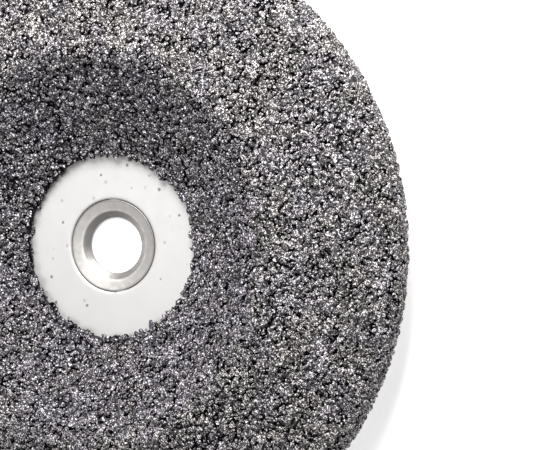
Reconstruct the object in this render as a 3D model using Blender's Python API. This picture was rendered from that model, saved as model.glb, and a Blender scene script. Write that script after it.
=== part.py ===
"""Carving disc for an angle grinder: a pressed steel dish whose working face carries brazed carbide grit.

The disc lies with its working face up. The origin is the centre of the bore on the back of the hub, the
face that seats on the grinder's inner flange. +Z runs along the spindle, towards the work.
"""

import math

import bmesh
import bpy
from mathutils import Matrix, Vector

MM = 0.001

# Driving dimensions.
DISC_RADIUS = 55.0 * MM  # over the grit
BORE_RADIUS = 8.0 * MM
SHEET = 2.0 * MM  # thickness of the pressed steel
FOOT_RADIUS = 16.9 * MM  # where the hub's flat meets the sloping wall, before the bend is rounded
CREST_RADIUS = 33.0 * MM  # where the wall meets the working face
CREST_RISE = 10.3 * MM  # steel crest above the hub's front face
FACE_FALL = 2.6 * MM  # how far the working face drops from the crest to the shoulder
SKIRT_DROP = 2.7 * MM  # length of the turned-down rim, below the shoulder
BRAZE = 0.4 * MM  # thickness of the braze that holds the grit
GRIT = 1.1 * MM  # height of the packed grains above the braze
GAP = 0.3 * MM  # left between two neighbouring pieces

# Bends, on the steel's front face.
FOOT_BEND = 3.0 * MM
CREST_BEND = 2.5 * MM
SHOULDER_BEND = 2.4 * MM
BEND_STEPS = 4
BORE_LIP = 0.3 * MM
LIP_STEPS = 3
BARE_EDGE = 0.4 * MM  # steel left bare below the coated rim

# Reducing ring that sits in the bore, for a 3/8 inch spindle. Its front falls inwards, then steepens.
RING_PLAY = 0.1 * MM  # radial
RING_BORE = 4.8 * MM
RING_SINK = 0.15 * MM  # its front edge below the hub's front
RING_LIFT = 0.1 * MM  # its back face above the hub's back
RING_KNEE = 6.05 * MM  # radius where its front steepens
RING_KNEE_DROP = 0.4 * MM  # depth of that knee below the ring's front edge
RING_LAND = 0.4 * MM  # straight bore left behind the steep part

SEGMENTS = 64  # facets round the axis
SHARP_ANGLE = math.radians(30)

# Derived dimensions: heights of each layer above the steel's front face.
BRAZE_UNDER = GAP
BRAZE_OVER = BRAZE_UNDER + BRAZE
GRIT_UNDER = BRAZE_OVER + GAP
GRIT_OVER = GRIT_UNDER + GRIT
SHOULDER_RADIUS = DISC_RADIUS - GRIT_OVER
CREST_HEIGHT = SHEET + CREST_RISE
SHOULDER_HEIGHT = CREST_HEIGHT - FACE_FALL
SKIRT_HEIGHT = SHOULDER_HEIGHT - SKIRT_DROP

# The steel's front face in section, as sharp corners (radius, height), and the bend at each inner corner.
CORNERS = (
    Vector((BORE_RADIUS + BORE_LIP, SHEET)),
    Vector((FOOT_RADIUS, SHEET)),
    Vector((CREST_RADIUS, CREST_HEIGHT)),
    Vector((SHOULDER_RADIUS, SHOULDER_HEIGHT)),
    Vector((SHOULDER_RADIUS, SKIRT_HEIGHT)),
)
BENDS = {"foot": FOOT_BEND, "crest": CREST_BEND, "shoulder": SHOULDER_BEND}


def clear_scene():
    for obj in list(bpy.data.objects):
        bpy.data.objects.remove(obj)


def material(name, colour, roughness, metallic):
    made = bpy.data.materials.new(name)
    made.use_nodes = True
    surface = made.node_tree.nodes["Principled BSDF"]
    surface.inputs["Base Color"].default_value = (*colour, 1.0)
    surface.inputs["Roughness"].default_value = roughness
    surface.inputs["Metallic"].default_value = metallic
    made.diffuse_color = (*colour, 1.0)
    return made


# ---- the section ----


def turned(vector, angle):
    """A section vector turned anticlockwise."""
    return Matrix.Rotation(angle, 2) @ vector


def bend(before, corner, after, radius, height):
    """Points along a rounded corner, at a height above the steel's front face.

    The height is measured along the face's normal, so every layer of the section shares its bends' centres.
    """
    into = (corner - before).normalized()
    out_of = (after - corner).normalized()
    turn = math.atan2(into.cross(out_of), into.dot(out_of))
    side = math.copysign(1.0, turn)
    normal = turned(into, math.pi / 2)
    centre = corner - into * radius * math.tan(abs(turn) / 2) + normal * side * radius
    return [
        centre + turned(normal, turn * step / BEND_STEPS) * (height - side * radius)
        for step in range(BEND_STEPS + 1)
    ]


def bends(height):
    """Every bend of the section, in order from the hub outwards, at a height above the steel's front face."""
    points = []
    for index, radius in enumerate(BENDS.values()):
        before, corner, after = CORNERS[index : index + 3]
        points += bend(before, corner, after, radius, height)
    return points


def skirt_end(height, bare=0.0):
    """The section's outer end, cut short by a bare stretch."""
    return CORNERS[-1] + Vector((height, bare))


# ---- solids ----


def revolved(name, outline, look):
    """A closed outline in the XZ plane, spun once round the Z axis."""
    solid = bmesh.new()
    corners = [solid.verts.new((point.x, 0.0, point.y)) for point in outline]
    edges = [solid.edges.new((corners[i - 1], corners[i])) for i in range(len(corners))]
    bmesh.ops.spin(
        solid,
        geom=corners + edges,
        axis=(0.0, 0.0, 1.0),
        cent=(0.0, 0.0, 0.0),
        angle=math.tau,
        steps=SEGMENTS,
        use_merge=True,
    )
    bmesh.ops.recalc_face_normals(solid, faces=solid.faces)
    mesh = bpy.data.meshes.new(name)
    solid.to_mesh(mesh)
    solid.free()
    mesh.shade_smooth()
    mesh.set_sharp_from_angle(angle=SHARP_ANGLE)
    mesh.materials.append(look)
    made = bpy.data.objects.new(name, mesh)
    bpy.context.scene.collection.objects.link(made)
    return made


def add_steel_dish(look):
    """The pressed sheet: flat hub with a rounded bore edge, sloping wall, crest, face, turned-down rim."""
    lip_centre = Vector((BORE_RADIUS + BORE_LIP, SHEET - BORE_LIP))
    lip = [
        lip_centre + turned(Vector((-BORE_LIP, 0.0)), -math.pi / 2 * step / LIP_STEPS)
        for step in range(LIP_STEPS + 1)
    ]
    front = lip + bends(0.0) + [skirt_end(0.0)]
    back = [Vector((BORE_RADIUS, 0.0))] + bends(-SHEET) + [skirt_end(-SHEET)]
    return revolved("steel_dish", front + back[::-1], look)


def add_coat(name, under, over, look):
    """A layer that covers the steel from the foot of the wall to just short of the rim's edge."""
    low = bends(under) + [skirt_end(under, BARE_EDGE)]
    high = bends(over) + [skirt_end(over, BARE_EDGE)]
    return revolved(name, low + high[::-1], look)


def add_reducing_ring(look):
    """A countersunk washer that drops into the bore and lifts out of it."""
    outer = BORE_RADIUS - RING_PLAY
    front = SHEET - RING_SINK
    outline = [
        Vector((RING_BORE, RING_LIFT)),
        Vector((outer, RING_LIFT)),
        Vector((outer, front)),
        Vector((RING_KNEE, front - RING_KNEE_DROP)),
        Vector((RING_BORE, RING_LIFT + RING_LAND)),
    ]
    return revolved("reducing_ring", outline, look)


def main():
    clear_scene()
    add_steel_dish(material("bright_steel", (0.83, 0.83, 0.81), 0.28, 1.0))
    add_reducing_ring(material("ring_steel", (0.55, 0.53, 0.51), 0.35, 1.0))
    add_coat("braze_coat", BRAZE_UNDER, BRAZE_OVER, material("braze", (0.08, 0.08, 0.09), 0.5, 0.9))
    add_coat("carbide_grit", GRIT_UNDER, GRIT_OVER, material("carbide", (0.28, 0.27, 0.28), 0.38, 0.9))


main()
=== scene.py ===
"""The looks of the carving disc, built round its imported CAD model.

The dish and the ring are turned again from the CAD's own sections, finely. The braze is a rough bed, and the
grit on it is some thousands of single crushed grains, each a closed angular body.
"""

import math
from collections import namedtuple

import bmesh
import bpy
import numpy as np
from mathutils import Matrix, Vector, kdtree, noise


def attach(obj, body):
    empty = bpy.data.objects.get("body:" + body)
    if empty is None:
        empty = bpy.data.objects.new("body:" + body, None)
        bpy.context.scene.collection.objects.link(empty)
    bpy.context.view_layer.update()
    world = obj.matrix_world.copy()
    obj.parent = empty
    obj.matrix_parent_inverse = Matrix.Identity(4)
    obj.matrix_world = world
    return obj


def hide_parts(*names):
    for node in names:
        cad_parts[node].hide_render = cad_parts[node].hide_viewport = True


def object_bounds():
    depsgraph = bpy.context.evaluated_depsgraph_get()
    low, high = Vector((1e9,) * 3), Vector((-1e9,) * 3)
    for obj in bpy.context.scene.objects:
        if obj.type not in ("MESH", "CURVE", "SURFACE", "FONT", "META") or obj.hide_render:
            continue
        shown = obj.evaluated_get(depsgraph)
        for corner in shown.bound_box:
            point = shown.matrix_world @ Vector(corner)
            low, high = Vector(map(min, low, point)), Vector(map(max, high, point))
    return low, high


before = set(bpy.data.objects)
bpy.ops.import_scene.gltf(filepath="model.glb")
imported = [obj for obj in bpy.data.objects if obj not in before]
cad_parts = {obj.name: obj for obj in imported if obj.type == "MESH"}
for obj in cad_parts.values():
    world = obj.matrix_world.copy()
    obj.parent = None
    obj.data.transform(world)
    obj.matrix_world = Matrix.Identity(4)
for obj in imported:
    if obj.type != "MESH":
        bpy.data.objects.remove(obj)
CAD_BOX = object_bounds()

MM = 0.001
SEED = 20
TURN = 2.0 * math.pi

# Reading the CAD's sections.
ON_PLANE = 1e-6  # how far off the half plane a point may lie
DIGITS = 7  # kept of a point's place
SAME_RADIUS = 0.01 * MM

# The turned pieces.
SEGMENTS = 288
PROFILE_STEP = 0.5 * MM
RING_STEP = 0.1 * MM
ROUNDING = 2  # times that a section's corners are cut

# The braze bed, measured down from the top of the CAD's grit.
BED_DEPTH = 1.15 * MM
BED_STEP = 0.5 * MM
BED_SEGMENTS = 420
BED_LUMPS = 0.28 * MM
BED_LUMP_SIZE = 1.1 * MM
BED_FRACTAL = (1.0, 2.0, 3)  # how each octave weakens, how much finer it is, and how many there are

# A large grain, as a ball of radius 1: cut by random planes, then crumpled by valleys of two sizes.
CUTS = 11
CUT_DEPTHS = (0.42, 0.88)  # from the ball's middle
EDGE_ON = 1e-3  # a cut that faces a point less than this leaves it alone
VALLEYS = (2.4, 5.3)  # how closely the wide and the narrow ones lie
VALLEY_WIDTH = 0.14  # in the noise's own values
RELIEF = (0.84, 0.16, 0.08)  # height where both meet, and what leaving the wide and the narrow one adds
NARROW_LIGHT = (0.15, 0.85)  # light at the bottom of a narrow valley, and what leaving it adds
JITTER = (0.95, 1.05)
UNDERSIDE = -0.2  # height below which the facets are coarser
NOISE_REACH = 50.0  # how far apart in the noise two grains can be

# A fine grain: the hull of random points round a ball.
SPLINTER_POINTS = 11
SPLINTER_REACH = (0.75, 1.0)

# The grains: how many shapes they share, their size, how far apart they lie, how clear of the larger ones,
# and how deep their tops lie below the top of the CAD's grit.
COARSE_GRAIN = dict(shapes=48, across=1.85 * MM, apart=1.15 * MM, clear=0.0, sunk=(-0.02 * MM, 0.14 * MM))
MEDIUM_GRAIN = dict(shapes=32, across=1.4 * MM, apart=0.8 * MM, clear=0.92 * MM, sunk=(0.05 * MM, 0.3 * MM))
FINE_GRAIN = dict(shapes=28, across=0.95 * MM, apart=0.55 * MM, clear=0.6 * MM, sunk=(0.25 * MM, 0.6 * MM))
SIZE_SPREAD = 0.2  # of the logarithm of their size
SIZE_LIMIT = 0.5
STRETCH = (0.7, 1.35)
GRAIN_TILT = 0.5  # how far a grain leans off the surface's normal
WORN = 0.25 * MM  # how strongly the grains' tops are levelled
TRIES = 12  # places tried for each that a square grid would hold
LINE_SAMPLES = 400
GRIT_BANDS = 10
WALL_FADE = 4.0 * MM  # how far down the wall from the crest the grains' painted shade deepens to its darkest
RIM_BEND = (5.5 * MM, 2.0 * MM)  # in from the disc's edge, between which the grains start to lie level
RIM_SUNK = 0.3  # how much of its depth a grain keeps there
RIM_OVERHANG = 0.15  # how much of its reach below the rim's edge a grain keeps

# Loose grains at the edge of the bare hub.
LOOSE_GRAINS = 120
FRINGE_WIDTH = 0.7 * MM
FRINGE_SPREAD = (-0.3, 0.0, 1.0)  # least, likeliest and most, in fringe widths in from the grit
LOOSE_SIZES = (0.6, 1.3)  # in fine grains
LOOSE_STAND = 0.62  # height of a loose grain's top above the hub, in its own sizes

# The carbide. A height is a share of its grain's own height.
FLANK = (0.62, 0.71)  # painted shade: a grain is dark below the first height and light above the second
FLANK_SHINE = (0.05, 0.5)  # how strongly the surface reflects at those two heights
VALLEY_LIGHT = (0.37, 0.87)  # how open to the light a point is where it is darkest, and where it is lightest
PAINTED_GAP_SHADE = (0.036, 0.027, 0.044)  # painted shade that flanks and valleys are multiplied by
PAINTED_WALL_SHADE = (0.60, 0.58, 0.63)  # painted shade that the grains down the wall are multiplied by
DARK_GRAIN = 0.86  # what the darkest grain is multiplied by
FACET_SIZE = 0.9 * MM
FACET_GREYS = (0.65, 0.78)
FACET_ROUGHNESS = (0.5, 0.75)
FACET_LEAN = 0.6  # how far a facet can lean off the surface
RAGGED_EDGES = dict(size=0.4 * MM, amount=0.5 * MM)
# painted shade of thin cracks on the grains
CREASE_SHADE = dict(size=0.35 * MM, core=0.07, fade=0.11)
# painted highlights: small bright spots down the wall
PAINTED_GLINTS = dict(size=0.4 * MM, reach=0.38, chance=0.64)
PAINTED_GLINT_HEIGHTS = (0.47, 0.6)  # heights between which the painted glints come up
PAINTED_GLINT_COLOUR = (0.68, 0.67, 0.70)
TINT_SIZE = 5 * MM

# Specks on the steel, the ring's painted shade and highlight, and the edges of painted creases and spots.
FAINT_SPECKS = dict(size=1.8 * MM, reach=0.24, chance=0.55)
DARK_SPECKS = dict(size=3.0 * MM, reach=0.11, chance=0.45)
RING_PAINTED_LIGHT_SPAN = (5.0 * MM, 8.0 * MM)  # radii between which the ring's painted shade and highlight are laid out
# the grey at the core of a painted crease
CREASE_SHADE_GREY = 0.03
SPOT_CORE = 0.7  # the share of a spot that is solid
CHOICE_EDGE = 0.02
NOISE_ROUGHNESS = 0.55

# Colours, and the sockets of Blender's Mix node when it mixes colours.
BLACK = 0.0
WHITE = (1.0, 1.0, 1.0)
MIX_SHARE, MIX_FIRST, MIX_SECOND = 0, 6, 7
MIX_RESULT = 2

# The studio.
FLOOR_HALF = 3.0
FLOOR_DROP = 0.05 * MM  # how far it lies below the disc
FLOOR_GLOW = 0.46
KEY_LAMP = dict(place=(0.03, 0.17, 0.17), size=0.14, power=1.4)
FILL_LAMP = dict(place=(-0.15, 0.0, 0.42), size=0.35, power=0.24)
AIM = Vector((0.0, 0.0, 0.0))  # what the lamps face
SKY_COLOUR = (0.97, 0.98, 1.0, 1.0)
SKY_LIGHT = 0.4
BACKDROP = 0.85  # the sky's brightness as the camera sees it

# The camera, from the middle of the view on the crest's plane.
VIEW_POINT = Vector((34.8, 4.2, 14.3)) * MM
CAMERA_DISTANCE = 269.7 * MM
CAMERA_LEAN = math.radians(21.06)  # off the spindle axis
CAMERA_AZIMUTH = math.radians(4.4)
CAMERA_LENS = 111.3

# The grains of one kind: the shapes they share, and where each lies along and round the section, with its
# size and its depth.
Field = namedtuple("Field", "shapes at angles sizes sunk")


# ---- sections, read from the CAD ----


def outline(node):
    """A CAD node's closed outline in the half plane at angle 0, as (radius, height) rows."""
    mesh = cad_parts[node].data
    places = [vert.co for vert in mesh.vertices]
    beside = {}
    for edge in mesh.edges:
        ends = [places[i] for i in edge.vertices]
        if any(abs(end.y) > ON_PLANE or end.x < 0 for end in ends):
            continue
        here, there = [(round(end.x, DIGITS), round(end.z, DIGITS)) for end in ends]
        beside.setdefault(here, set()).add(there)
        beside.setdefault(there, set()).add(here)
    walk = [min(beside)]
    walk.append(min(beside[walk[0]]))
    while True:
        onward = (beside[walk[-1]] - {walk[-2]}).pop()
        if onward == walk[0]:
            return np.array(walk)
        walk.append(onward)


def rim_edge(loop):
    """A closed outline's outermost point, and the lowest if there are several."""
    return min(loop.tolist(), key=lambda point: (-point[0], point[1]))


def upper_stretch(loop, start, end):
    """The stretch of a closed outline between two of its points, on its upper side."""
    first, last = (int(np.abs(loop - point).sum(1).argmin()) for point in (start, end))
    onward = np.roll(loop, -first, axis=0)[: (last - first) % len(loop) + 1]
    back = np.roll(loop[::-1], first + 1, axis=0)[: (first - last) % len(loop) + 1]
    return max(onward, back, key=lambda line: line[:, 1].mean())


def top_of_grit():
    """The grit's upper line, from the foot of the wall to the rim's edge."""
    loop = outline("carbide_grit")
    foot = min(loop.tolist(), key=lambda point: (point[0], -point[1]))
    return upper_stretch(loop, foot, rim_edge(loop))


def top_of_steel(foot_radius):
    """The steel's front face under the coat, from the foot of the wall to the rim's edge."""
    loop = outline("steel_dish")
    level = loop[:, 1][np.abs(loop[:, 0] - foot_radius) < SAME_RADIUS].max()
    return upper_stretch(loop, (foot_radius, level), rim_edge(loop))


def refined(points, step, closed):
    """A line with its corners rounded, and points about a step apart."""
    ends = np.vstack([points, points[:1]]) if closed else points
    dense = []
    for here, there in zip(ends[:-1], ends[1:]):
        count = max(1, math.ceil(np.linalg.norm(there - here) / step))
        dense += [here + (there - here) * i / count for i in range(count)]
    line = np.array(dense if closed else dense + [ends[-1]])
    for _ in range(ROUNDING):
        middles = (line + np.roll(line, -1, axis=0)) / 2
        line = middles if closed else np.vstack([line[:1], middles[:-1], line[-1:]])
    return line


def unit(rows):
    """The rows, scaled to length 1."""
    return rows / np.linalg.norm(rows, axis=-1, keepdims=True)


class Line:
    """An open section line that can be asked for the place and normal at any length along it."""

    def __init__(self, points):
        self.points = points
        steps = np.linalg.norm(np.diff(points, axis=0), axis=1)
        self.at = np.concatenate([[0.0], np.cumsum(steps)])
        self.length = self.at[-1]
        along = unit(np.gradient(points, self.at, axis=0))
        self.normals = np.stack([-along[:, 1], along[:, 0]], axis=1)

    def place(self, lengths):
        return np.stack([np.interp(lengths, self.at, self.points[:, i]) for i in (0, 1)], axis=-1)

    def normal(self, lengths):
        return unit(np.stack([np.interp(lengths, self.at, self.normals[:, i]) for i in (0, 1)], axis=-1))


def spun(points, angles):
    """(radius, height) rows turned to these angles, as XYZ rows."""
    radii, heights = points[..., 0], points[..., 1]
    return np.stack(np.broadcast_arrays(radii * np.cos(angles), radii * np.sin(angles), heights), axis=-1)


# ---- pieces ----


def add_piece(name, points, faces, look, body, smooth):
    """A mesh that rides on a body of the frame."""
    mesh = bpy.data.meshes.new(name)
    mesh.from_pydata(points, [], faces)
    mesh.materials.append(look)
    if smooth:
        mesh.shade_smooth()
    piece = bpy.data.objects.new(name, mesh)
    bpy.context.scene.collection.objects.link(piece)
    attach(piece, body)
    return piece


def tube_faces(turns, around):
    """Quads of a grid that closes on itself both ways: round the axis, and round its section."""
    turn, step = np.meshgrid(np.arange(turns), np.arange(around), indexing="ij")
    here = turn * around + step
    up = turn * around + (step + 1) % around
    over = ((turn + 1) % turns) * around
    return np.stack([here, up, over + (step + 1) % around, over + step], axis=-1).reshape(-1, 4)


def outward(loop):
    """A closed section, turned the way that makes a spun solid's faces point out."""
    x, y = loop.T
    area = np.sum(x * np.roll(y, -1) - np.roll(x, -1) * y)
    return loop if area > 0 else loop[::-1]


def add_turned(name, node, step, look, body):
    """A CAD node's section, spun finely with its corners eased."""
    loop = outward(refined(outline(node), step, closed=True))
    angles = np.arange(SEGMENTS) * TURN / SEGMENTS
    points = spun(loop[None], angles[:, None]).reshape(-1, 3)
    piece = add_piece(name, points, tube_faces(SEGMENTS, len(loop)), look, body, smooth=True)
    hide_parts(node)


def lumpy(points, size):
    """Fractal noise between about -1 and 1 at each point, with lumps of this size."""
    return np.array([noise.fractal(Vector(point) / size, *BED_FRACTAL) for point in points])


def add_braze_bed(top, steel, look):
    """The braze between the grains: a closed skin, rough above and fitted to the steel below."""
    lengths = np.linspace(0.0, top.length, math.ceil(top.length / BED_STEP))
    crown = top.place(lengths) - top.normal(lengths) * BED_DEPTH
    floor = steel.place(np.linspace(0.0, steel.length, len(lengths) // 4))[::-1]
    loop = np.vstack([crown, floor])
    raised = np.concatenate([top.normal(lengths), np.zeros_like(floor)])
    angles = np.arange(BED_SEGMENTS) * TURN / BED_SEGMENTS
    points = spun(loop[None], angles[:, None]).reshape(-1, 3)
    rise = spun(raised[None], angles[:, None]).reshape(-1, 3)
    points += rise * (lumpy(points, BED_LUMP_SIZE) * BED_LUMPS)[:, None]
    faces = tube_faces(BED_SEGMENTS, len(loop))[:, ::-1]
    piece = add_piece("braze_bed", points, faces, look, "disc", smooth=True)
    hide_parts("braze_coat")


# ---- grains ----


def coarse_shape(dice):
    """A crushed lump whose facets are finer on the upper side, which is the side that shows."""
    solid = bmesh.new()
    bmesh.ops.create_icosphere(solid, subdivisions=2, radius=1.0)
    upper = [edge for edge in solid.edges if min(vert.co.z for vert in edge.verts) > UNDERSIDE]
    bmesh.ops.subdivide_edges(solid, edges=upper, cuts=1, use_grid_fill=True)
    bmesh.ops.triangulate(solid, faces=solid.faces)
    return crushed(solid, dice)


def medium_shape(dice):
    """A crushed lump with facets of one size."""
    solid = bmesh.new()
    bmesh.ops.create_icosphere(solid, subdivisions=2, radius=1.0)
    return crushed(solid, dice)


def crushed(solid, dice):
    """A ball made into a lump one unit across: cut by random planes, then crumpled.

    Gives its points and triangles, and how open to the light each point lies.
    """
    planes = unit(dice.normal(size=(CUTS, 3)))
    depths = dice.uniform(*CUT_DEPTHS, size=CUTS)
    shift = Vector(dice.uniform(-NOISE_REACH, NOISE_REACH, size=3))
    bottom, wide_rise, narrow_rise = RELIEF
    light = []
    for vert in solid.verts:
        vert.co.normalize()
        facing = planes @ np.array(vert.co)
        cut = np.where(facing > EDGE_ON, depths / np.maximum(facing, EDGE_ON), 1.0)
        reach = np.min(cut.clip(max=1.0))
        wide, narrow = (valley(vert.co * closeness + shift) for closeness in VALLEYS)
        light.append(min(wide, NARROW_LIGHT[0] + NARROW_LIGHT[1] * narrow))
        vert.co *= 0.5 * reach * (bottom + wide_rise * wide + narrow_rise * narrow) * dice.uniform(*JITTER)
    return (*shape_arrays(solid), np.array(light))


def valley(place):
    """0 on the winding lines where noise crosses its middle value, and 1 away from them."""
    return min(1.0, abs(noise.noise(place)) / VALLEY_WIDTH)


def fine_shape(dice):
    """A splinter one unit across: the hull of a few random points. Gives the same as a crushed lump."""
    solid = bmesh.new()
    for place in dice.normal(size=(SPLINTER_POINTS, 3)):
        solid.verts.new(0.5 * place / np.linalg.norm(place) * dice.uniform(*SPLINTER_REACH))
    hull = bmesh.ops.convex_hull(solid, input=solid.verts)
    bmesh.ops.delete(solid, geom=hull["geom_interior"], context="VERTS")
    bmesh.ops.recalc_face_normals(solid, faces=solid.faces)
    points, triangles = shape_arrays(solid)
    return points, triangles, np.ones(len(points))


def shape_arrays(solid):
    """A closed shape's points and triangles. Frees the shape."""
    bmesh.ops.triangulate(solid, faces=solid.faces)
    solid.verts.index_update()
    points = np.array([vert.co for vert in solid.verts])
    triangles = np.array([[vert.index for vert in face.verts] for face in solid.faces])
    solid.free()
    return points, triangles


def scattered(line, apart, taken, clear, dice):
    """Random places on the spun line, as lengths along it and angles round it.

    None is closer than this to another, and all are clear of the places taken.
    """
    lengths = np.linspace(0.0, line.length, LINE_SAMPLES)
    radii = line.place(lengths)[:, 0]
    weight = np.cumsum(radii)
    area = TURN * radii.mean() * line.length
    tries = int(area / apart**2 * TRIES)
    at = np.interp(dice.uniform(0, weight[-1], tries), weight, lengths)
    angles = dice.uniform(0, TURN, tries)
    places = spun(line.place(at), angles)
    tree = kdtree.KDTree(tries)
    for index, place in enumerate(places):
        tree.insert(place, index)
    tree.balance()
    free = np.ones(tries, dtype=bool)
    for place in taken:
        free[[other for _, other, _ in tree.find_range(place, clear)]] = False
    for index, place in enumerate(places):
        if free[index]:
            near = [other for _, other, _ in tree.find_range(place, apart) if other > index]
            free[near] = False
    return at[free], angles[free]


def random_stances(normals, dice):
    """A rotation for each grain: its top along the surface's normal, leant a little, and any way round."""
    tops = unit(normals + dice.normal(size=normals.shape) * GRAIN_TILT / 2)
    sides = unit(np.cross(tops, dice.normal(size=normals.shape)))
    return np.stack([sides, np.cross(tops, sides), tops], axis=-1)


def placed_grains(shapes, places, normals, sizes, sunk, shades, dice):
    """Grains set with their tops this far below the surface, as one batch of points, triangles and tags.

    A point's tag is its grain's own random tone, its height in the grain, the grain's shade, and how open to
    the light it lies.
    """
    turns = random_stances(normals, dice)
    stretch = dice.uniform(*STRETCH, size=(len(places), 3))
    tones = dice.uniform(size=len(places))
    picks = dice.integers(len(shapes), size=len(places))
    grains = []
    for index, pick in enumerate(picks):
        shape, triangles, light = shapes[pick]
        body = (shape * stretch[index]) @ turns[index].T * sizes[index]
        heights = body @ normals[index]
        level = (heights - heights.min()) / np.ptp(heights)
        depths = heights.max() - heights
        worn = depths**2 / (depths + WORN)
        body += places[index] - normals[index] * (worn - depths + heights.max() + sunk[index])[:, None]
        tone, shade = (np.full(len(body), value[index]) for value in (tones, shades))
        grains.append((body, triangles, np.column_stack([tone, level, shade, light])))
    return merged(grains)


def merged(batches):
    """Several batches of points, triangles and tags as one."""
    points, triangles, tags = zip(*batches)
    starts = np.cumsum([0] + [len(some) for some in points[:-1]])
    triangles = [some + start for some, start in zip(triangles, starts)]
    return np.vstack(points), np.vstack(triangles), np.vstack(tags)


def add_grains(name, batch, look):
    """One piece of many grains."""
    points, triangles, tags = batch
    piece = add_piece(name, points, triangles, look, "disc", smooth=False)
    layer = piece.data.attributes.new("grain", "FLOAT_COLOR", "POINT")
    layer.data.foreach_set("color", tags.astype(np.float32).ravel())
    return piece


def grain_field(kind, shape, top, taken, dice):
    """Grains of one kind: their shapes, and where each lies, its size and its depth."""
    shapes = [shape(dice) for _ in range(kind["shapes"])]
    at, angles = scattered(top, kind["apart"], taken, kind["clear"], dice)
    sizes = kind["across"] * np.exp(dice.normal(0, SIZE_SPREAD, len(at)).clip(-SIZE_LIMIT, SIZE_LIMIT))
    sunk = dice.uniform(*kind["sunk"], size=len(at)) * rim_share(top, at)
    return Field(shapes, at, angles, sizes, sunk)


def grains_between(low, high, field, top, dice):
    """A batch of the field's grains that lie between two lengths along the section."""
    here = (field.at >= low) & (field.at < high)
    at, angles = field.at[here], field.angles[here]
    places, normals = spun(top.place(at), angles), spun(top.normal(at), angles)
    crest = top.at[top.points[:, 1].argmax()]
    # painted shade: grains darken from the crest down the wall into the dish
    shades = np.interp(at, (crest - WALL_FADE, crest), (0.0, 1.0))
    batch = placed_grains(field.shapes, places, normals, field.sizes[here], field.sunk[here], shades, dice)
    return (trimmed(batch[0], top), *batch[1:])


def add_grit(top, look, dice):
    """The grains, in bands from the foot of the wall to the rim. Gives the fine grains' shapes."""
    fields = []
    taken = np.empty((0, 3))
    kinds = ((COARSE_GRAIN, coarse_shape), (MEDIUM_GRAIN, medium_shape), (FINE_GRAIN, fine_shape))
    for kind, shape in kinds:
        field = grain_field(kind, shape, top, taken, dice)
        taken = np.vstack([taken, spun(top.place(field.at), field.angles)])
        fields.append(field)
    edges = np.quantile(fields[0].at, np.linspace(0.0, 1.0, GRIT_BANDS + 1))
    edges[0], edges[-1] = 0.0, np.inf
    for number, (low, high) in enumerate(zip(edges[:-1], edges[1:]), start=1):
        batch = merged([grains_between(low, high, field, top, dice) for field in fields])
        add_grains(f"grit_band_{number:02d}", batch, look)
    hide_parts("carbide_grit")
    return fields[-1].shapes


def trimmed(points, line):
    """The points, with those that hang below the rim's edge brought up nearly level with it."""
    edge_radius, edge_height = line.points[-1]
    at_rim = np.hypot(points[:, 0], points[:, 1]) > edge_radius - RIM_BEND[0]
    over = np.where(at_rim, edge_height - points[:, 2], 0.0).clip(min=0.0)
    return points + np.outer(over * (1.0 - RIM_OVERHANG), (0.0, 0.0, 1.0))


def rim_share(line, at):
    """1 over the face and the wall, falling towards the rim, where the grains are packed level."""
    inset = line.points[:, 0].max() - line.place(at)[:, 0]
    return np.interp(inset, RIM_BEND[::-1], (RIM_SUNK, 1.0))


def add_loose_grains(foot_radius, hub_height, shapes, look, dice):
    """Single grains at the ragged edge of the grit, standing on the bare hub."""
    least, likeliest, most = FRINGE_SPREAD
    radii = foot_radius - dice.triangular(least, likeliest, most, LOOSE_GRAINS) * FRINGE_WIDTH
    angles = dice.uniform(0, TURN, LOOSE_GRAINS)
    sizes = FINE_GRAIN["across"] * dice.uniform(*LOOSE_SIZES, LOOSE_GRAINS)
    places = spun(np.column_stack([radii, np.full(LOOSE_GRAINS, hub_height)]), angles)
    normals = np.tile([0.0, 0.0, 1.0], (LOOSE_GRAINS, 1))
    # the darkest painted wall shade, as at the foot of the wall
    shades = np.zeros(LOOSE_GRAINS)
    batch = placed_grains(shapes, places, normals, sizes, -sizes * LOOSE_STAND, shades, dice)
    add_grains("loose_grains", batch, look)


# ---- materials ----


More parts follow.
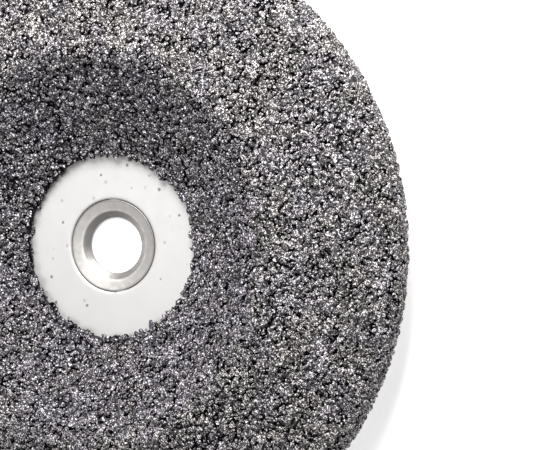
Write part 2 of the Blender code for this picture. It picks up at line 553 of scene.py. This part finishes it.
class Nodes:
    """A material's node tree, with short calls to add and join nodes."""

    def __init__(self, name):
        self.material = bpy.data.materials.new(name)
        self.material.use_nodes = True
        self.tree = self.material.node_tree
        self.surface = self.tree.nodes["Principled BSDF"]
        self.place = self.add("ShaderNodeTexCoord").outputs["Object"]

    def add(self, kind, **values):
        """A new node, with these settings."""
        node = self.tree.nodes.new(kind)
        for key, value in values.items():
            setattr(node, key, value)
        return node

    def join(self, source, target):
        self.tree.links.new(source, target)

    def noise(self, size, detail=4.0, vector=None):
        """Noise with lumps of about this size, between 0 and 1."""
        node = self.add("ShaderNodeTexNoise")
        node.inputs["Scale"].default_value = 1.0 / size
        node.inputs["Detail"].default_value = detail
        node.inputs["Roughness"].default_value = NOISE_ROUGHNESS
        self.join(vector or self.place, node.inputs["Vector"])
        return node.outputs["Fac"]

    def cells(self, size, vector):
        """A Voronoi node: facets of about this size."""
        node = self.add("ShaderNodeTexVoronoi")
        node.inputs["Scale"].default_value = 1.0 / size
        self.join(vector, node.inputs["Vector"])
        return node

    def vectors(self, operation, first, second):
        """Vector arithmetic on two sockets or triples."""
        node = self.add("ShaderNodeVectorMath", operation=operation)
        for index, value in enumerate((first, second)):
            if isinstance(value, bpy.types.NodeSocket):
                self.join(value, node.inputs[index])
            else:
                node.inputs[index].default_value = value
        return node.outputs["Vector"]

    def shaken(self, size, amount):
        """The place, pushed about by noise, so that straight cell edges turn ragged."""
        node = self.add("ShaderNodeTexNoise")
        node.inputs["Scale"].default_value = 1.0 / size
        self.join(self.place, node.inputs["Vector"])
        push = self.vectors("SUBTRACT", node.outputs["Color"], (0.5, 0.5, 0.5))
        return self.vectors("ADD", self.place, self.vectors("MULTIPLY", push, (amount, amount, amount)))

    def tilted(self, cells, lean):
        """The surface's normal, leant at random by each cell."""
        facing = self.add("ShaderNodeNewGeometry").outputs["Normal"]
        push = self.vectors("SUBTRACT", cells.outputs["Color"], (0.5, 0.5, 0.5))
        leant = self.vectors("ADD", facing, self.vectors("MULTIPLY", push, (lean, lean, lean)))
        return self.vectors("NORMALIZE", leant, (0.0, 0.0, 0.0))

    def ramp(self, source, *stops):
        """A colour ramp; each stop is a position and a grey value or a colour."""
        node = self.add("ShaderNodeValToRGB")
        marks = node.color_ramp.elements
        for _ in stops[2:]:
            marks.new(0.5)
        for mark, (position, colour) in zip(marks, stops):
            mark.position = position
            mark.color = (*colour, 1.0) if isinstance(colour, tuple) else (colour, colour, colour, 1.0)
        self.join(source, node.inputs["Fac"])
        return node.outputs["Color"]

    def crease_shade(self, size, core, fade):
        """Painted shade: thin dark wandering lines on white, where noise of this size crosses its middle
        value.

        The core and the faded edge are half widths, in the noise's own values.
        """
        into = ((0.5 - fade, WHITE), (0.5 - core, CREASE_SHADE_GREY))
        out_of = ((0.5 + core, CREASE_SHADE_GREY), (0.5 + fade, WHITE))
        return self.ramp(self.noise(size, 2.0), *into, *out_of)

    def channels(self, colour):
        """A colour's three channels."""
        node = self.add("ShaderNodeSeparateColor")
        self.join(colour, node.inputs["Color"])
        return node.outputs["Red"], node.outputs["Green"], node.outputs["Blue"]

    def spots(self, size, reach, chance):
        """White ragged spots on black, in the middle of some of the cells of this size.

        The reach is a share of the cell, and the chance is that of a cell without a spot.
        """
        cells = self.cells(size, self.shaken(size * reach, size * reach))
        spots = self.ramp(cells.outputs["Distance"], (reach * SPOT_CORE, WHITE), (reach, BLACK))
        draw = self.channels(cells.outputs["Color"])[2]
        return self.times(spots, self.ramp(draw, (chance - CHOICE_EDGE, BLACK), (chance, WHITE)))

    def mix(self, kind, share, first, second):
        """Two colours mixed; share is a number or a socket, and a colour is a socket or three numbers."""
        node = self.add("ShaderNodeMix", data_type="RGBA", blend_type=kind)
        for index, value in ((MIX_SHARE, share), (MIX_FIRST, first), (MIX_SECOND, second)):
            if isinstance(value, bpy.types.NodeSocket):
                self.join(value, node.inputs[index])
            elif index == MIX_SHARE:
                node.inputs[index].default_value = value
            else:
                node.inputs[index].default_value = (*value, 1.0)
        return node.outputs[MIX_RESULT]

    def times(self, colour, *factors):
        """A colour multiplied by others."""
        for factor in factors:
            colour = self.mix("MULTIPLY", 1.0, colour, factor)
        return colour

    def bump(self, height, distance):
        """The normal of a surface that stands this far out where the height is 1."""
        node = self.add("ShaderNodeBump")
        node.inputs["Distance"].default_value = distance
        self.join(height, node.inputs["Height"])
        return node.outputs["Normal"]

    def reach_from_axis(self):
        """The distance from the Z axis."""
        apart = self.add("ShaderNodeSeparateXYZ")
        self.join(self.place, apart.inputs["Vector"])
        flat = self.add("ShaderNodeCombineXYZ")
        for axis in "XY":
            self.join(apart.outputs[axis], flat.inputs[axis])
        length = self.add("ShaderNodeVectorMath", operation="LENGTH")
        self.join(flat.outputs["Vector"], length.inputs[0])
        return length.outputs["Value"]

    def clear_from_behind(self):
        """Makes the surface see-through where it is seen from its back."""
        clear = self.add("ShaderNodeBsdfTransparent")
        choice = self.add("ShaderNodeMixShader")
        self.join(self.add("ShaderNodeNewGeometry").outputs["Backfacing"], choice.inputs["Fac"])
        self.join(self.surface.outputs["BSDF"], choice.inputs[1])
        self.join(clear.outputs["BSDF"], choice.inputs[2])
        self.join(choice.outputs["Shader"], self.tree.nodes["Material Output"].inputs["Surface"])

    def finish(self, colour, roughness, metallic, normal):
        """The material, with these joined to its surface."""
        self.join(colour, self.surface.inputs["Base Color"])
        self.join(roughness, self.surface.inputs["Roughness"])
        self.join(normal, self.surface.inputs["Normal"])
        self.surface.inputs["Metallic"].default_value = metallic
        return self.material


def carbide_look():
    """Crushed carbide: worn tops in greys; painted shade makes the flanks near black and draws dark cracks.

    Painted shade makes it darker down the wall, where painted glints stand for small broken faces catching
    light.
    """
    nodes = Nodes("carbide")
    tag = nodes.add("ShaderNodeAttribute", attribute_name="grain")
    # place is the grain's painted wall shade: 0 down the wall, 1 on the face
    tone, height, place = nodes.channels(tag.outputs["Color"])
    facets = nodes.cells(FACET_SIZE, nodes.shaken(**RAGGED_EDGES))
    facet_shine, facet_grey, _ = nodes.channels(facets.outputs["Color"])
    grey = nodes.times(
        nodes.ramp(facet_grey, (0.1, FACET_GREYS[0]), (0.9, FACET_GREYS[1])),
        nodes.ramp(tone, (0.0, DARK_GRAIN), (1.0, WHITE)),
        # painted shade: near black on the lower flanks and in the narrow valleys
        nodes.ramp(height, (FLANK[0], PAINTED_GAP_SHADE), (FLANK[1], WHITE)),
        nodes.ramp(tag.outputs["Alpha"], (VALLEY_LIGHT[0], PAINTED_GAP_SHADE), (VALLEY_LIGHT[1], WHITE)),
        # painted shade down the wall
        nodes.ramp(place, (0.0, PAINTED_WALL_SHADE), (1.0, WHITE)),
        # painted shade of thin cracks
        nodes.crease_shade(**CREASE_SHADE),
        carbide_tints(nodes),
    )
    # painted highlights on the flanks, down the wall only
    painted_glints = nodes.times(
        nodes.spots(**PAINTED_GLINTS),
        nodes.ramp(height, (PAINTED_GLINT_HEIGHTS[0], BLACK), (PAINTED_GLINT_HEIGHTS[1], WHITE)),
        nodes.ramp(place, (0.0, WHITE), (1.0, BLACK)),
    )
    shine = nodes.ramp(height, (FLANK[0], FLANK_SHINE[0]), (FLANK[1], FLANK_SHINE[1]))
    nodes.join(shine, nodes.surface.inputs["Specular IOR Level"])
    colour = nodes.mix("MIX", painted_glints, grey, PAINTED_GLINT_COLOUR)
    roughness = nodes.ramp(facet_shine, (0.0, FACET_ROUGHNESS[0]), (1.0, FACET_ROUGHNESS[1]))
    return nodes.finish(colour, roughness, metallic=0.1, normal=nodes.tilted(facets, FACET_LEAN))


def carbide_tints(nodes):
    """Wide faint patches, from violet through rose and yellow to red."""
    return nodes.ramp(
        nodes.noise(TINT_SIZE, 2.0),
        (0.32, (0.975, 0.92, 0.985)),
        (0.46, (1.0, 0.925, 0.95)),
        (0.60, (1.0, 0.945, 0.895)),
        (0.72, (1.0, 0.905, 0.89)),
    )


def braze_look():
    """Rough braze, near black: its own dark colour and painted shade in the gaps between the grains."""
    nodes = Nodes("braze")
    colour = nodes.ramp(nodes.noise(0.6 * MM), (0.3, (0.006, 0.005, 0.008)), (0.7, (0.03, 0.026, 0.034)))
    roughness = nodes.ramp(nodes.noise(0.4 * MM), (0.3, 0.45), (0.7, 0.8))
    normal = nodes.bump(nodes.noise(0.25 * MM), 0.08 * MM)
    nodes.surface.inputs["Specular IOR Level"].default_value = 0.25
    return nodes.finish(colour, roughness, metallic=0.0, normal=normal)


def steel_look():
    """Bright plated steel: satin and faintly clouded, with small grey specks that the brazing left."""
    nodes = Nodes("bright_steel")
    clouds = nodes.ramp(
        nodes.noise(6 * MM, 3.0),
        (0.3, (0.588, 0.575, 0.562)),
        (0.7, (0.612, 0.60, 0.588)),
    )
    faint = nodes.mix("MIX", nodes.spots(**FAINT_SPECKS), WHITE, (0.72, 0.70, 0.69))
    dark = nodes.mix("MIX", nodes.spots(**DARK_SPECKS), WHITE, (0.40, 0.38, 0.37))
    roughness = nodes.ramp(nodes.noise(1.5 * MM, 4.0), (0.3, 0.34), (0.7, 0.46))
    normal = nodes.bump(nodes.noise(0.3 * MM, 3.0), 0.006 * MM)
    return nodes.finish(nodes.times(clouds, faint, dark), roughness, metallic=0.55, normal=normal)


def ring_look():
    """Plain turned steel, a warm grey, with fine tool rings: painted shade inside, painted highlight at its
    knee.
    """
    nodes = Nodes("ring_steel")
    reach = nodes.reach_from_axis()
    rings = nodes.noise(0.12 * MM, 1.0, vector=reach)
    share = nodes.add("ShaderNodeMapRange")
    nodes.join(reach, share.inputs["Value"])
    share.inputs["From Min"].default_value = RING_PAINTED_LIGHT_SPAN[0]
    share.inputs["From Max"].default_value = RING_PAINTED_LIGHT_SPAN[1]
    # painted shade inside the bore, and a painted highlight at the knee
    inside = ((0.0, 0.5), (0.28, 0.56), (0.35, 1.25), (0.42, 1.12), (0.5, 0.96))
    # painted shade at the outer edge
    outside = ((0.84, 0.94), (0.92, 0.62), (1.0, 0.4))
    shades = nodes.ramp(share.outputs["Result"], *inside, *outside)
    clouds = nodes.ramp(nodes.noise(1.2 * MM), (0.3, (0.50, 0.475, 0.455)), (0.7, (0.58, 0.56, 0.535)))
    roughness = nodes.ramp(nodes.noise(0.8 * MM), (0.3, 0.34), (0.7, 0.5))
    normal = nodes.bump(rings, 0.01 * MM)
    return nodes.finish(nodes.times(clouds, shades), roughness, metallic=0.8, normal=normal)


def floor_look():
    """White acrylic, lit like a light table, and clear from below, so that the disc's back can be seen."""
    nodes = Nodes("floor")
    nodes.surface.inputs["Emission Color"].default_value = (*WHITE, 1.0)
    nodes.surface.inputs["Emission Strength"].default_value = FLOOR_GLOW
    colour = nodes.ramp(nodes.noise(40 * MM, 2.0), (0.3, 0.93), (0.7, 0.95))
    roughness = nodes.ramp(nodes.noise(20 * MM), (0.3, 0.85), (0.7, 0.95))
    normal = nodes.bump(nodes.noise(1 * MM), 0.002 * MM)
    nodes.clear_from_behind()
    return nodes.finish(colour, roughness, metallic=0.0, normal=normal)


# ---- stage ----


def add_floor(height, look):
    """A wide square sheet."""
    mesh = bpy.data.meshes.new("floor")
    corners = [(x * FLOOR_HALF, y * FLOOR_HALF, height) for x, y in ((-1, -1), (1, -1), (1, 1), (-1, 1))]
    mesh.from_pydata(corners, [], [range(len(corners))])
    mesh.materials.append(look)
    floor = bpy.data.objects.new("floor", mesh)
    bpy.context.scene.collection.objects.link(floor)


def add_lamp(name, place, size, power):
    """A square soft box that faces the disc."""
    lamp = bpy.data.lights.new(name, "AREA")
    lamp.shape = "SQUARE"
    lamp.size = size
    lamp.energy = power
    held = bpy.data.objects.new(name, lamp)
    held.location = place
    held.rotation_euler = (AIM - Vector(place)).to_track_quat("-Z", "Y").to_euler()
    bpy.context.scene.collection.objects.link(held)


def add_world():
    """Even light from all round, and a backdrop of its own brightness for the camera."""
    world = bpy.data.worlds.new("studio")
    world.use_nodes = True
    tree = world.node_tree
    background = tree.nodes["Background"]
    background.inputs["Color"].default_value = SKY_COLOUR
    seen = tree.nodes.new("ShaderNodeLightPath")
    level = tree.nodes.new("ShaderNodeMapRange")
    level.inputs["To Min"].default_value = SKY_LIGHT
    level.inputs["To Max"].default_value = BACKDROP
    tree.links.new(seen.outputs["Is Camera Ray"], level.inputs["Value"])
    tree.links.new(level.outputs["Result"], background.inputs["Strength"])
    bpy.context.scene.world = world


def add_camera():
    """The photograph's view."""
    camera = bpy.data.cameras.new("camera")
    camera.lens = CAMERA_LENS
    camera.clip_start = 1 * MM
    held = bpy.data.objects.new("camera", camera)
    lean = math.sin(CAMERA_LEAN)
    east = lean * math.cos(CAMERA_AZIMUTH)
    north = lean * math.sin(CAMERA_AZIMUTH)
    toward = Vector((east, north, math.cos(CAMERA_LEAN)))
    right = Vector((0.0, 1.0, 0.0)).cross(toward).normalized()
    axes = Matrix((right, toward.cross(right), toward)).transposed()
    held.matrix_world = Matrix.Translation(VIEW_POINT + toward * CAMERA_DISTANCE) @ axes.to_4x4()
    bpy.context.scene.collection.objects.link(held)
    bpy.context.scene.camera = held


def add_disc(dice):
    """Every piece of the disc and its ring."""
    top = Line(refined(top_of_grit(), PROFILE_STEP, closed=False))
    foot_radius = top.points[0, 0]
    steel = Line(refined(top_of_steel(foot_radius), PROFILE_STEP, closed=False))
    add_turned("dish", "steel_dish", PROFILE_STEP, steel_look(), "disc")
    add_turned("ring", "reducing_ring", RING_STEP, ring_look(), "ring")
    add_braze_bed(top, steel, braze_look())
    carbide = carbide_look()
    splinters = add_grit(top, carbide, dice)
    add_loose_grains(foot_radius, steel.points[0, 1], splinters, carbide, dice)


def add_studio():
    """The floor, the lights, the world and the camera."""
    add_floor(CAD_BOX[0][2] - FLOOR_DROP, floor_look())
    add_lamp("key", **KEY_LAMP)
    add_lamp("fill", **FILL_LAMP)
    add_world()
    add_camera()
    bpy.context.scene.view_settings.view_transform = "Standard"


add_disc(np.random.default_rng(SEED))
add_studio()
